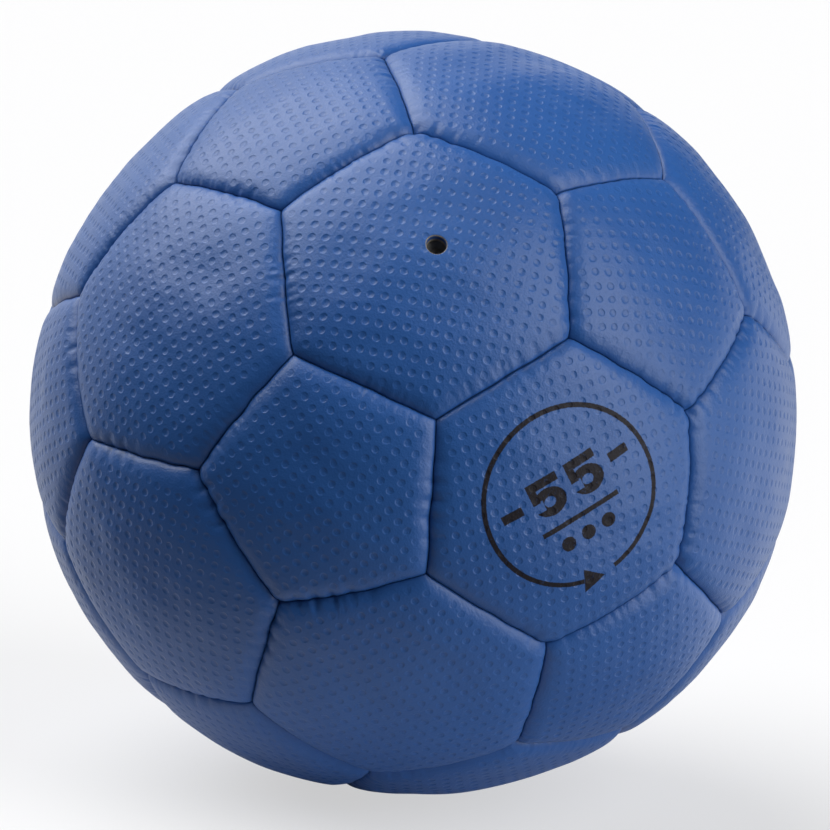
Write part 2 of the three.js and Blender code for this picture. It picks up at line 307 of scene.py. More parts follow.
for lamp_name, lamp_values in LAMPS.items():
    StageSizes.__annotations__ |= lamp_settings(lamp_name, *lamp_values)

SETTINGS = {
    "ball_cover": CoverSizes,
    "ball_cover_colours": CoverColours,
    "ball_print": PrintSizes,
    "ball_valve": ValveSizes,
    "ball_valve_colours": ValveColours,
    "ball_stage": StageSizes,
}


# Plane and ball geometry


def circle(turns):
    """Places on a flat circle of radius 1 at the given turns."""
    return np.stack((np.cos(turns), np.sin(turns)), axis=-1)


def bearings(places):
    """The turn at which each place lies, in its first two coordinates."""
    return np.arctan2(places[..., 1], places[..., 0])


def unit(vectors):
    """Vectors brought to length 1."""
    return vectors / np.linalg.norm(vectors, axis=-1, keepdims=True)


def fading(distance, width):
    """A bell curve: 1 at no distance, and about a third at the width."""
    return np.exp(-((distance / width) ** 2))


def flat_about_middle(directions, radius):
    """Flat places of directions about +Z: the arc from +Z, laid out in its own bearing."""
    arc = radius * np.arccos(np.clip(directions[:, 2], -1, 1))
    return arc[:, None] * circle(bearings(directions))


def directions_of_flat(places, radius):
    """Directions about +Z of flat places: the reverse of flat_about_middle."""
    arc = np.linalg.norm(places, axis=1) / radius
    return np.column_stack((np.sin(arc)[:, None] * circle(bearings(places)), np.cos(arc)))


# The pattern of seams


def cycled_directions(x, y, z):
    """The directions got from one by changing its signs and cycling its coordinates, each once."""
    signed = np.array(list(itertools.product((1, -1), repeat=3))) * np.array((x, y, z))
    cycled = np.concatenate([np.roll(signed, turn, axis=1) for turn in range(3)])
    return np.unique(np.round(unit(cycled), 12) + 0.0, axis=0)


HEXAGON_MIDDLES = np.concatenate((cycled_directions(1, 1, 1), cycled_directions(0, GOLDEN, 1 / GOLDEN)))
PENTAGON_MIDDLES = cycled_directions(0, 1, GOLDEN)
SEAM_CORNERS = np.concatenate(
    [
        cycled_directions(0, 1, 3 * GOLDEN),
        cycled_directions(1, 2 + GOLDEN, 2 * GOLDEN),
        cycled_directions(GOLDEN, 2, 2 * GOLDEN + 1),
    ]
)


def panel_turn(middle):
    """Rows that turn a panel made about +Z to its place: towards its highest corner, across, and out."""
    nearness = SEAM_CORNERS @ middle
    corners = SEAM_CORNERS[nearness > nearness.max() - SAME]
    highest = corners[np.lexsort((bearings(corners), -np.round(corners[:, 2], 6)))[0]]
    along = unit(highest - (highest @ middle) * middle)
    return np.array((along, np.cross(middle, along), middle))


def node_middle(node, middles):
    """The panel middle of a list that a CAD node lies under."""
    low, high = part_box(node)
    return middles[np.argmax(middles @ np.array((low + high) / 2))]


def corner_directions(sides):
    """Directions of a panel's corners, made about +Z with the first towards +X."""
    reach = SEAM_LENGTH / (2 * math.sin(math.pi / sides))
    flat = reach * circle(2 * math.pi * np.arange(sides) / sides)
    return np.column_stack((flat, np.full(sides, math.sqrt(1 - reach**2))))


def seam_normals(sides):
    """For each seam, the unit normal towards the panel of the plane through it and the centre."""
    corners = corner_directions(sides)
    return unit(np.cross(corners, np.roll(corners, -1, axis=0)))


def seam_distances(directions, sides, radius):
    """Arc distance of each direction from each seam's great circle, positive inside the panel."""
    return radius * np.arcsin(np.clip(directions @ seam_normals(sides).T, -1, 1))


def half_width(sides, cover):
    """Arc distance from a panel's middle to each of its seams."""
    return cover.crown_radius * math.asin(seam_normals(sides)[0, 2])


def seam_ends():
    """Start and end corners of the 90 seams: each pair of corners that lie one seam's length apart."""
    gaps = np.linalg.norm(SEAM_CORNERS[:, None] - SEAM_CORNERS[None], axis=2)
    first, second = np.nonzero(np.triu(np.abs(gaps - SEAM_LENGTH) < SAME))
    return SEAM_CORNERS[first], SEAM_CORNERS[second]


# Grids


class PanelGrid:
    """A panel's triangular grid: ring r has r points for each seam, and ring 0 is the middle point.

    A point's two parameters are its ring and its share of the way along its seam.
    """

    def __init__(self, sides, rings):
        self.sides = sides
        self.rings = rings
        sizes = np.maximum(1, sides * np.arange(rings + 1))
        self.starts = np.concatenate(([0], np.cumsum(sizes)[:-1]))
        self.ring = np.repeat(np.arange(rings + 1), sizes)
        place = np.arange(sizes.sum()) - self.starts[self.ring]
        safe_ring = np.maximum(1, self.ring)
        self.sector = place // safe_ring
        self.share = (place % safe_ring) / safe_ring

    def stepped(self, ring, sector, place, steps):
        """Numbers of the points so many (rings out, places on) from places in sectors of rings."""
        columns = []
        for out, on in steps:
            size = np.maximum(1, self.sides * (ring + out))
            columns.append(self.starts[ring + out] + (sector * (ring + out) + place + on) % size)
        return np.stack(columns, axis=1)

    def triangles(self):
        """Triangles between neighbouring rings, wound to face out."""
        inner = np.arange(self.rings)
        sizes = self.sides * (inner + 1)
        ring = np.repeat(inner, sizes)
        place = np.arange(len(ring)) - (np.cumsum(sizes) - sizes)[ring]
        sector, along = place // (ring + 1), place % (ring + 1)
        outward = self.stepped(ring, sector, along, ((0, 0), (1, 0), (1, 1)))
        both = along < ring
        inward = self.stepped(ring[both], sector[both], along[both], ((0, 0), (1, 1), (0, 1)))
        return np.concatenate((outward, inward))

    def edge(self):
        """Numbers of the points on the outermost ring, in order."""
        return self.starts[self.rings] + np.arange(self.sides * self.rings)

    def flat_places(self):
        """Each point's place on a flat drawing of the grid, one unit from a ring to the next."""
        turns = 2 * math.pi * self.sector / self.sides
        start, end = circle(turns), circle(turns + 2 * math.pi / self.sides)
        share = self.share[:, None]
        return self.ring[:, None] * ((1 - share) * start + share * end)

    def directions(self, distances, cover):
        """Directions of the grid's points, each at its own arc distance from its seam."""
        insets = np.where(self.ring == 0, half_width(self.sides, cover), distances)
        sines = np.sin(insets / cover.crown_radius)
        return directions_from_seam(self.sides, self.sector, self.share, sines)


def band(lower, upper):
    """Triangles between closed loops of equally many point numbers, lower to upper."""
    next_lower, next_upper = np.roll(lower, -1, axis=-1), np.roll(upper, -1, axis=-1)
    halves = ((lower, next_lower, next_upper), (lower, next_upper, upper))
    return np.concatenate([np.stack(half, axis=-1).reshape(-1, 3) for half in halves])


def gathered_band(coarse, fine):
    """Triangles from a coarse loop to a fine one that has a whole number of points for each of its."""
    share = len(fine) // len(coarse)
    numbers = np.arange(len(fine))
    owner = ((numbers + share // 2) // share) % len(coarse)
    next_numbers = (numbers + 1) % len(fine)
    next_owner = owner[next_numbers]
    fans = np.stack((coarse[owner], fine[next_numbers], fine[numbers]), axis=1)
    closing = np.stack((coarse[owner], coarse[next_owner], fine[next_numbers]), axis=1)
    return np.concatenate((fans, closing[owner != next_owner]))


def directions_from_seam(sides, sector, share, sines):
    """Directions at a place along a seam and at an angle, given by its sine, from the seam's plane.

    Each lies between the panel's middle M and the point E that divides the seam's chord, as a M + E,
    where a is the root of a a (S - s) - 2 a b s - c s = 0. S and s are the squared sines of the
    angles of M and of the point asked for, b is M . E and c is E . E.
    """
    corners = corner_directions(sides)
    share = share[:, None]
    chord = (1 - share) * corners[sector] + share * corners[(sector + 1) % sides]
    whole = seam_normals(sides)[0, 2] ** 2
    square = np.minimum(sines**2, whole * (1 - SAME**2))
    b = chord[:, 2]
    c = (chord**2).sum(axis=1)
    root = np.sqrt((b * square) ** 2 + c * square * (whole - square))
    factor = (b * square + root) / (whole - square)
    return unit(chord + factor[:, None] * np.array((0, 0, 1)))


# Shapes that repeat over the whole ball


def smooth_noise(points, wavelength, seed, waves=14):
    """A sum of plane waves of one wavelength in seeded directions, about 1 at its peaks."""
    random = np.random.default_rng(seed)
    directions = unit(random.normal(size=(waves, 3)))
    phases = random.uniform(0, 2 * math.pi, waves)
    angles = points @ directions.T * (2 * math.pi / wavelength) + phases
    return np.sin(angles).sum(axis=1) * math.sqrt(2 / waves) / 1.6


def noise_vectors(points, wavelength, seed):
    """Three smooth noises of one wavelength as a vector for each point."""
    return np.stack([smooth_noise(points, wavelength, seed + axis) for axis in range(3)], axis=1)


def settled(points, cover):
    """Points of the true ball moved to the real, slightly uneven one.

    Every piece goes through it, so neighbours keep their fit. A slow noise draws points in towards
    the centre, three more lead the seams a little astray, and three short ones ripple them.
    """
    slow = 0.9 * cover.crown_radius
    short = 1.7 * cover.stitch_pitch
    inward = 0.5 + 0.5 * smooth_noise(points, 1.6 * slow, seed=5)
    wander = cover.seam_wander * noise_vectors(points, slow, seed=20)
    wander += cover.seam_ripple * noise_vectors(points, short, seed=30)
    distance = np.linalg.norm(points, axis=1, keepdims=True)
    away = points / np.maximum(distance, MM)
    wander -= (wander * away).sum(axis=1, keepdims=True) * away
    drawn = away * cover.sag * np.clip(inward, 0, 1)[:, None]
    return points + distance / cover.crown_radius * (wander - drawn)


# Panels


def roll_inset(distance, cover):
    """Distance from the seam at which a grid point is set, closer together on the rounded edge."""
    touch = cover.seam_gap / 2
    turn = math.pi / 2 * np.clip(distance / cover.roll_width, 0, 1)
    rolled = touch + (cover.roll_width - touch) * (1 - np.cos(turn))
    return np.where(distance < cover.roll_width, rolled, distance)


def slow_fall(distances, cover):
    """The slow part of the crown's fall towards each seam: a parabola over the crown's reach."""
    return cover.crown_fall * np.clip(1 - distances / cover.crown_reach, 0, 1) ** 2


def crown_drops(distances, cover):
    """How far the surface lies below the crown for its distances from each seam.

    Each seam gives a quarter ellipse over the roll's width and the slow fall. Near a corner the
    seams' drops are joined, which rounds the corner without a deep pocket.
    """
    touch = cover.seam_gap / 2
    reach = np.clip((distances - touch) / (cover.roll_width - touch), 0, 1)
    ellipse = (cover.groove_depth - cover.crown_fall) * (1 - np.sqrt(1 - (1 - reach) ** 2))
    return joined(ellipse + slow_fall(distances, cover))


def joined(drops, power=4):
    """One drop from those of all seams: the power's root of the sum of their powers."""
    return (drops**power).sum(axis=1) ** (1 / power)


def pucker_drops(directions, distances, name, sides, turn, cover):
    """How far the stitches pull the rounded edge in, with the fine wrinkles across it.

    Along each seam a raised cosine dips at every stitch and fades away from the seam. It is strong
    or weak by a noise that both panels of a seam share. The wrinkles are a sum of sines along the
    seam, from the panel's own seed, and come in patches.
    """
    corners = corner_directions(sides)
    middles = unit(corners + np.roll(corners, -1, axis=0))
    tangents = np.cross(seam_normals(sides), middles)
    along = cover.crown_radius * np.arctan2(directions @ tangents.T, directions @ middles.T)
    stitches = (0.5 + 0.5 * np.cos(2 * math.pi * along / cover.stitch_pitch)) ** 2
    places = (directions * cover.crown_radius) @ turn
    strength = np.clip(0.4 + smooth_noise(places, PUCKER_PATCH, seed=41), 0.1, 1.4)
    fade = fading(distances, 0.5 * cover.roll_width)
    puckers = cover.pucker_depth * (stitches * fade).sum(axis=1) * strength
    random = np.random.default_rng(seed_of(name))
    wrinkles = np.zeros(len(directions))
    for wavelength in WRINKLE_WAVES:
        waves = np.sin(2 * math.pi * along / wavelength + random.uniform(0, 2 * math.pi, sides))
        wrinkles += (waves * fading(distances, 0.7 * cover.roll_width)).sum(axis=1)
    patches = np.clip(0.25 + smooth_noise(places, WRINKLE_PATCH, seed=47), 0, 1)
    return puckers + cover.wrinkle_depth / 2 * wrinkles * patches


def seed_of(name):
    """A whole number of its own for each name."""
    return sum(map(ord, name))


def grain_places(directions, name, sides, cover):
    """Places on the square grid of pits, one unit from a pit to the next, turned as the panel is cut."""
    steps = GRAIN_STEPS_SEEN.get(name, seed_of(name) % 3)
    turn = math.radians(GRAIN_TURN[sides] + steps * GRAIN_STEP[sides])
    rows = circle(np.array((turn, turn + math.pi / 2)))
    shift = np.random.default_rng(seed_of(name)).uniform(0, 1, 2)
    return flat_about_middle(directions, cover.crown_radius) / cover.pit_pitch @ rows.T + shift


def pit_drops(grain, cover):
    """Depth of the embossed pits: a round dish at each whole number of the grain's grid.

    Across a pit, with s from 0 at its middle to 1 at its rim, the depth's share is 1 - s s s (4 - 3 s),
    which keeps the floor flat and the wall steep.
    """
    from_pit = np.linalg.norm(grain - np.round(grain), axis=1) * cover.pit_pitch
    share = np.clip(2 * from_pit / cover.pit_width, 0, 1)
    return cover.pit_depth * (1 - share**3 * (4 - 3 * share))


def outer_points(directions, name, sides, turn, cover):
    """The panel's outer face, its grain places, its distance from the nearest seam and its pits' share."""
    distances = seam_distances(directions, sides, cover.crown_radius)
    nearest = distances.min(axis=1)
    places = (directions * cover.crown_radius) @ turn
    grain = grain_places(directions, name, sides, cover)
    margin = cover.pit_margin * (1 + MARGIN_SPREAD * smooth_noise(places, MARGIN_PATCH, seed=8))
    wholeness = np.clip((nearest - BARE_SHARE * margin) / ((1 - BARE_SHARE) * margin), 0, 1)
    dents = cover.dent_depth * smooth_noise(places, DENT_WAVE, seed=3)
    dents += 0.35 * cover.dent_depth * smooth_noise(places, SMALL_DENT_WAVE, seed=4)
    radius = cover.crown_radius - crown_drops(distances, cover)
    radius -= pucker_drops(directions, distances, name, sides, turn, cover)
    radius -= wholeness * pit_drops(grain, cover)
    radius -= np.clip(nearest / cover.crown_reach, 0, 1) * np.clip(dents + cover.dent_depth, 0, None)
    return directions * radius[:, None], grain, nearest, wholeness


def inner_points(directions, sides, cover):
    """The panel's inner face: the laminate's thickness inside the slow fall of its crown."""
    fall = slow_fall(seam_distances(directions, sides, cover.crown_radius), cover)
    return directions * (cover.crown_radius - cover.laminate - joined(fall))[:, None]


def flange_profile(cover):
    """The turned-in flange as (inset, radius) pairs, from the line of touch round to the pocket."""
    path = cover.crown_radius - cover.groove_depth - cover.stitch_depth
    near = cover.thread_thickness / 2 + cover.fit_gap
    far = near + cover.laminate
    cut = path - cover.seam_allowance
    return [
        (near, path + near),
        (near, cut + BEVEL),
        (near + BEVEL, cut),
        (far - BEVEL, cut),
        (far, cut + BEVEL),
    ]


class NeedleHole:
    """The round hole in the valve panel: which grid points go, and where the rest move to."""

    def __init__(self, grid, cover, valve):
        self.radius = valve.hole_width / 2
        self.crown_radius = cover.crown_radius
        self.middle = valve.offset * circle(valve.offset_turn)
        self.step = half_width(grid.sides, cover) / grid.rings / math.cos(math.pi / grid.sides)
        places = grid.flat_places()
        self.hub = int(np.argmin(np.linalg.norm(places - self.middle / self.step, axis=1)))
        normals = circle(math.pi / 6 + math.pi / 3 * np.arange(3))
        across = np.abs((places - places[self.hub]) @ normals.T).max(axis=1) / math.cos(math.pi / 6)
        self.hexagon = np.rint(across).astype(int)
        self.rings_out = int(round((self.radius + valve.hole_lip) / self.step))

    def kept(self):
        """True for each grid point outside the hole or on its rim."""
        return self.hexagon >= self.rings_out

    def from_middle(self, directions):
        """Flat places of directions, from the hole's middle."""
        return flat_about_middle(directions, self.crown_radius) - self.middle

    def placed(self, turns, reach):
        """Directions at given bearings and distances from the hole's middle."""
        flat = self.middle + np.reshape(reach, (-1, 1)) * circle(turns)
        return directions_of_flat(flat, self.crown_radius)

    def moved(self, directions, rim):
        """Directions with the hexagon of grid points at the rim drawn into a circle of a radius."""
        away = self.from_middle(directions)
        away = away - away[self.hub] * fading(np.linalg.norm(away, axis=1), 4 * rim)[:, None]
        distance = np.linalg.norm(away, axis=1)
        sixth = math.pi / 3
        corner = np.mod(bearings(away), sixth) - sixth / 2
        hexagon = self.rings_out * self.step * math.cos(sixth / 2) / np.cos(corner)
        fade = fading(np.maximum(0, distance - hexagon), rim)
        on_rim = self.hexagon == self.rings_out
        return self.placed(bearings(away), np.where(on_rim, rim, distance + (rim - hexagon) * fade))

    def rim_order(self, directions):
        """Numbers of the rim's points in order round the hole."""
        numbers = np.flatnonzero(self.hexagon == self.rings_out)
        return numbers[np.argsort(bearings(self.from_middle(directions[numbers])))]


SKIN, CUT_EDGE, LINING = 0, 1, 2


class Shell:
    """A closed surface gathered face by face, with a material number for each triangle."""

    def __init__(self):
        self.points = np.empty((0, 3))
        self.triangles = np.empty((0, 3), int)
        self.slots = np.empty(0, int)

    def add_points(self, points):
        """Adds points and returns their numbers."""
        numbers = len(self.points) + np.arange(len(points))
        self.points = np.concatenate((self.points, points))
        return numbers

    def add_triangles(self, triangles, slot):
        """Adds triangles in one material."""
        self.triangles = np.concatenate((self.triangles, triangles))
        self.slots = np.concatenate((self.slots, np.full(len(triangles), slot)))

    def add_loop(self, loop, points, slot):
        """Adds a loop of points, with a band in one material to it from a loop. Returns the new loop."""
        new_loop = self.add_points(points)
        self.add_triangles(band(loop, new_loop), slot)
        return new_loop

    def drop_points(self, gone):
        """Takes out the points marked as gone, with every triangle that has one of them."""
        solid = ~gone[self.triangles].any(axis=1)
        new_numbers = np.cumsum(~gone) - 1
        self.triangles = new_numbers[self.triangles[solid]]
        self.slots = self.slots[solid]
        self.points = self.points[~gone]


def add_flange(shell, grid, cover):
    """Adds the turned-in flange along the grid's edge, loop by loop, and returns the last loop.

    Each loop has the same parameters along the seams, with an inset and a radius of its own.
    """
    edge = grid.edge()
    loop = edge[::-1]
    materials = (SKIN, SKIN, CUT_EDGE, CUT_EDGE, CUT_EDGE)
    for (inset, radius), slot in zip(flange_profile(cover), materials):
        sines = np.full(len(edge), inset / radius)
        lower = directions_from_seam(grid.sides, grid.sector[edge], grid.share[edge], sines) * radius
        loop = shell.add_loop(loop, lower[::-1], slot)
    return loop[::-1]


def add_hole_wall(shell, hole, rim, inner_rim, cover, valve):
    """Adds the needle hole's wall: a rounded lip with a thin pale band under it as a painted highlight, the
    skin's layer and the lining.
    """
    top = np.linalg.norm(shell.points[rim], axis=1)
    turns = bearings(hole.from_middle(shell.points[rim] / top[:, None]))
    lip, radius = valve.hole_lip, hole.radius
    profile = (
        (radius + 0.55 * lip, 0.15 * lip, SKIN),
        # Painted highlight: a thin band of the pale cut-edge material just under the lip.
        (radius, 0.9 * lip, CUT_EDGE),
        (radius, valve.skin_layer, SKIN),
        (radius, cover.laminate - BEVEL, CUT_EDGE),
    )
    loop = rim
    for reach, depth, slot in profile:
        loop = shell.add_loop(loop, hole.placed(turns, reach) * (top - depth)[:, None], slot)
    shell.add_triangles(band(loop, inner_rim), CUT_EDGE)


def panel_surface(name, sides, rings, turn, cover, inner_rings, valve=None):
    """One closed panel as a shell, with grain places, seam distances and pit strengths by point.

    The outer face is a grid of rings, and the flange goes on from its edge. The inner face closes
    the panel with a coarser grid, or with the same grid where the needle hole goes through both.
    """
    grid, inner_grid = PanelGrid(sides, rings), PanelGrid(sides, inner_rings)
    whole = half_width(sides, cover)
    pocket, _ = flange_profile(cover)[-1]
    directions = grid.directions(roll_inset(whole * (1 - grid.ring / rings), cover), cover)
    inward = inner_grid.directions(whole - (whole - pocket) * inner_grid.ring / inner_rings, cover)
    hole = None if valve is None else NeedleHole(grid, cover, valve)
    if hole is not None:
        directions = hole.moved(directions, hole.radius + valve.hole_lip)
        inward = hole.moved(inward, hole.radius)
    outer, *values = outer_points(directions, name, sides, turn, cover)
    shell = Shell()
    outside = shell.add_points(outer)
    shell.add_triangles(grid.triangles(), SKIN)
    pocket_loop = add_flange(shell, grid, cover)
    inside = shell.add_points(inner_points(inward, sides, cover))
    shell.add_triangles(inside[inner_grid.triangles()[:, ::-1]], LINING)
    shell.add_triangles(gathered_band(inside[inner_grid.edge()], pocket_loop), LINING)
    if hole is not None:
        rim = hole.rim_order(directions)
        add_hole_wall(shell, hole, rim, inside[rim], cover, valve)
    spare = len(shell.points) - len(outer)
    values = [np.concatenate((value, np.zeros((spare, *value.shape[1:])))) for value in values]
    if hole is not None:
        gone = np.zeros(len(shell.points), bool)
        gone[outside] = gone[inside] = ~hole.kept()
        shell.drop_points(gone)
        values = [value[~gone] for value in values]
    return shell, *values


# Meshes and pieces


def make_piece(name, points, triangles, materials, slots=None):
    """A smooth mesh object at the origin from points and triangles."""
    mesh = bpy.data.meshes.new(name)
    mesh.vertices.add(len(points))
    mesh.vertices.foreach_set("co", np.ascontiguousarray(points, np.float32).ravel())
    mesh.loops.add(triangles.size)
    mesh.loops.foreach_set("vertex_index", triangles.astype(np.int32).ravel())
    mesh.polygons.add(len(triangles))
    mesh.polygons.foreach_set("loop_start", np.arange(0, triangles.size, 3, dtype=np.int32))
    mesh.polygons.foreach_set("use_smooth", np.ones(len(triangles), bool))
    for material in materials:
        mesh.materials.append(material)
    if slots is not None:
        mesh.polygons.foreach_set("material_index", slots.astype(np.int32))
    mesh.update(calc_edges=True)
    if mesh.validate():
        raise RuntimeError(f"{name} has faults in its mesh")
    piece = bpy.data.objects.new(name, mesh)
    bpy.context.scene.collection.objects.link(piece)
    return piece


def add_point_values(piece, name, values):
    """A number for each point of a piece, for its material to read."""
    attribute = piece.data.attributes.new(name, "FLOAT", "POINT")
    attribute.data.foreach_set("value", values.astype(np.float32))


def add_map(piece, name, places):
    """A UV map from a flat place for each point."""
    corners = np.empty(len(piece.data.loops), np.int32)
    piece.data.loops.foreach_get("vertex_index", corners)
    layer = piece.data.uv_layers.new(name=name)
    layer.uv.foreach_set("vector", places[corners].astype(np.float32).ravel())


def stand_for(piece, node):
    """The piece takes a CAD node's place, on the ball's one body."""
    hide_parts(node)
    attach(piece, "root")


def make_panel(node, sides, rings, inner_rings, valve=None):
    """One panel in its node's place, with its grain, seam and pit values for the skin."""
    cover = bpy.context.scene.ball_cover
    middles = HEXAGON_MIDDLES if sides == HEXAGON else PENTAGON_MIDDLES
    turn = panel_turn(node_middle(node, middles))
    shell, grain, nearest, pits = panel_surface(node, sides, rings, turn, cover, inner_rings, valve)
    materials = [skin_material(node == PRINTED_PANEL), cut_edge_material(), lining_material()]
    points = settled(shell.points @ turn, cover)
    piece = make_piece(f"{node}_skin", points, shell.triangles, materials, shell.slots)
    add_map(piece, "grain", grain)
    add_point_values(piece, "seam", nearest / cover.pit_margin)
    add_point_values(piece, "pits", pits)
    stand_for(piece, node)


def twisted_threads(start, end, cover, steps=44, sides=6):
    """Round threads along great-circle arcs between pairs of directions, closed at both ends.

    A cross-section's radius is the thread's half thickness, lessened by a cosine that turns twice
    round and winds along, as a two-ply twist does.
    """
    path = cover.crown_radius - cover.groove_depth - cover.stitch_depth
    half = cover.thread_thickness / 2
    lay = 2.6 * cover.thread_thickness
    share = np.linspace(0, 1, steps)[:, None]
    whole = math.asin(SEAM_LENGTH / 2) * 2
    trim = 0.35 * half / path
    angles = trim + (whole - 2 * trim) * share
    middle = start[:, None] * np.sin(whole - angles) + end[:, None] * np.sin(angles)
    outward = (middle / math.sin(whole))[:, :, None]
    side = unit(np.cross(start, end))[:, None, None]
    around = 2 * math.pi * np.arange(sides) / sides
    twist = np.cos(2 * (around - math.pi * (path * angles) / lay))
    radius = half * (0.9 + 0.1 * twist) * np.where((share > 0) & (share < 1), 1, 0.35)
    up, across = radius * np.cos(around), radius * np.sin(around)
    points = outward * (path + up)[..., None] + side * across[..., None]
    loops = np.arange(len(start) * steps * sides).reshape(-1, steps, sides)
    triangles = [band(loops[:, :-1], loops[:, 1:])]
    for row, order in ((loops[:, 0], -1), (loops[:, -1], 1)):
        hub = np.repeat(row[:, :1], sides - 2, axis=1)
        fan = np.stack((hub, row[:, 1:-1], row[:, 2:]), axis=-1).reshape(-1, 3)
        triangles.append(fan[:, ::order])
    return points.reshape(-1, 3), np.concatenate(triangles)


# Round pieces about the valve's axis


def valve_axis():
    """Rows of a frame at the ball's centre whose last row points to the needle hole."""
    cover, valve = bpy.context.scene.ball_cover, bpy.context.scene.ball_valve
    turn = panel_turn(node_middle("valve_panel", HEXAGON_MIDDLES))
    place = valve.offset * circle(np.array((valve.offset_turn,)))
    axis = (directions_of_flat(place, cover.crown_radius) @ turn)[0]
    across = unit(np.cross(turn[1], axis))
    return np.array((across, np.cross(axis, across), axis))


def rounded_profile(corners, steps=5):
    """An outline of (radius, height, rounding) corners, each rounded by an arc-like curve.

    A rounding leaves its corner's two sides at that distance from the corner and follows the
    parabola with the corner as its control point.
    """
    outline = []
    places = np.array(corners)[:, :2]
    for number_of_corner, (*_, rounding) in enumerate(corners):
        corner = places[number_of_corner]
        if rounding == 0:
            outline.append(corner)
            continue
        start = unit(places[number_of_corner - 1] - corner) * rounding
        end = unit(places[number_of_corner + 1] - corner) * rounding
        for share in np.linspace(0, 1, steps + 1):
            outline.append(corner + (1 - share) ** 2 * start + share**2 * end)
    return np.array(outline)


def revolved(outline, sides, closed):
    """Points and triangles of an outline of (radius, height) turned about +Z.

    Where the outline isn't closed on itself, its two ends lie on the axis and become single points.
    """
    rows = outline if closed else outline[1:-1]
    flat = rows[:, None, :1] * circle(2 * math.pi * np.arange(sides) / sides)
    points = np.column_stack((flat.reshape(-1, 2), np.repeat(rows[:, 1], sides)))
    loops = np.arange(len(points)).reshape(-1, sides)
    if closed:
        return points, band(loops, np.roll(loops, -1, axis=0))
    ends = len(points) + np.arange(2)
    points = np.concatenate((points, [(0, 0, outline[0, 1]), (0, 0, outline[-1, 1])]))
    first, last = loops[0], loops[-1]
    fan = np.stack((np.full(sides, ends[0]), np.roll(first, -1), first), axis=1)
    cap = np.stack((np.full(sides, ends[1]), last, np.roll(last, -1)), axis=1)
    return points, np.concatenate((band(loops[:-1], loops[1:]), fan, cap))


def make_revolved(node, outline, closed, sides, material):
    """A revolved piece in its node's place on the valve's axis."""
    points, triangles = revolved(outline, sides, closed)
    placed = settled(points @ valve_axis(), bpy.context.scene.ball_cover)
    stand_for(make_piece(f"{node}_shape", placed, triangles, [material]), node)


def valve_heights(cover, valve):
    """Heights on the valve's axis from the ball's centre, as the packed solids have them."""
    inner_face = cover.crown_radius - cover.laminate
    cut_edge = cover.crown_radius - cover.groove_depth - cover.stitch_depth - cover.seam_allowance
    curve = inner_face - math.sqrt(inner_face**2 - valve.boss_radius**2)
    boss_top = inner_face - curve - valve.facet_allowance - cover.fit_gap
    room_top = boss_top - valve.mouth_height
    core_top = room_top - cover.fit_gap
    core_shoulder = core_top - valve.core_head_height
    stem_end = cut_edge - valve.stem_length
    return {
        "flange": cut_edge,
        "stem_end": stem_end,
        "boss_top": boss_top,
        "room_top": room_top,
        "core_top": core_top,
        "core_shoulder": core_shoulder,
        "room_bottom": core_shoulder - cover.fit_gap,
        "core_end": stem_end - valve.core_tip,
        "bladder": cut_edge - cover.fit_gap,
    }


# Materials


class Value:
    """A node socket. Arithmetic on it adds Math nodes to its tree."""

    def __init__(self, tree, socket):
        self.tree = tree
        self.socket = socket

    def math(self, operation, *others):
        """One Math node with this value first."""
        sockets = dict(enumerate((self, *others)))
        return add_node(self.tree, "ShaderNodeMath", {"operation": operation}, sockets)

    def __add__(self, other):
        return self.math("ADD", other)

    def __sub__(self, other):
        return self.math("SUBTRACT", other)

    def __mul__(self, other):
        return self.math("MULTIPLY", other)

    def __truediv__(self, other):
        return self.math("DIVIDE", other)

    def __pow__(self, other):
        return self.math("POWER", other)

    def __rsub__(self, other):
        return self.math("MULTIPLY_ADD", -1, other)

    __radd__ = __add__
    __rmul__ = __mul__

    def least(self, other):
        """The smaller of two values."""
        return self.math("MINIMUM", other)

    def most(self, other):
        """The larger of two values."""
        return self.math("MAXIMUM", other)

    def size(self):
        """The value without its sign."""
        return self.math("ABSOLUTE")

    def rise(self, start, end):
        """A smooth rise from 0 at start to 1 at end."""
        sockets = {"Value": self, "From Min": start, "From Max": end}
        return add_node(self.tree, "ShaderNodeMapRange", {"interpolation_type": "SMOOTHSTEP"}, sockets)


def add_node(tree, kind, settings=None, sockets=None, output=0):
    """Adds a node: its settings first, then its sockets' values or links. Returns one output."""
    node = tree.nodes.new(kind)
    for name, value in (settings or {}).items():
        setattr(node, name, value)
    for name, value in (sockets or {}).items():
        if isinstance(value, Value):
            tree.links.new(value.socket, node.inputs[name])
        else:
            node.inputs[name].default_value = value
    return None if output is None else Value(tree, node.outputs[output])


def new_material(name):
    """An empty node material, its tree and its object coordinates."""
    material = bpy.data.materials.new(name)
    material.use_nodes = True
    tree = material.node_tree
    tree.nodes.clear()
    return material, tree, add_node(tree, "ShaderNodeTexCoord", output="Object")


def shared(name, make, *values):
    """The material of a name, made the first time it is asked for."""
    return bpy.data.materials.get(name) or make(name, *values)


def noise(tree, where, scale, detail=2.0, roughness=0.5):
    """A noise from about 0 to 1 with so many bumps to a metre."""
    sockets = {"Vector": where, "Scale": scale, "Detail": detail, "Roughness": roughness}
    return add_node(tree, "ShaderNodeTexNoise", None, sockets)


def blend(tree, factor, first, second, mode="MIX"):
    """A colour mixed from two, which may be links or (red, green, blue)."""
    first, second = (part if isinstance(part, Value) else (*part, 1) for part in (first, second))
    settings = {"data_type": "RGBA", "blend_type": mode}
    return add_node(tree, "ShaderNodeMix", settings, {0: factor, 6: first, 7: second}, 2)


def mixed(tree, factor, first, second):
    """A shader mixed from two."""
    return add_node(tree, "ShaderNodeMixShader", None, {0: factor, 1: first, 2: second})


def bumped(tree, height, distance):
    """A normal from a height, where a height of 1 stands for a distance in metres."""
    return add_node(tree, "ShaderNodeBump", None, {"Height": height, "Distance": distance})


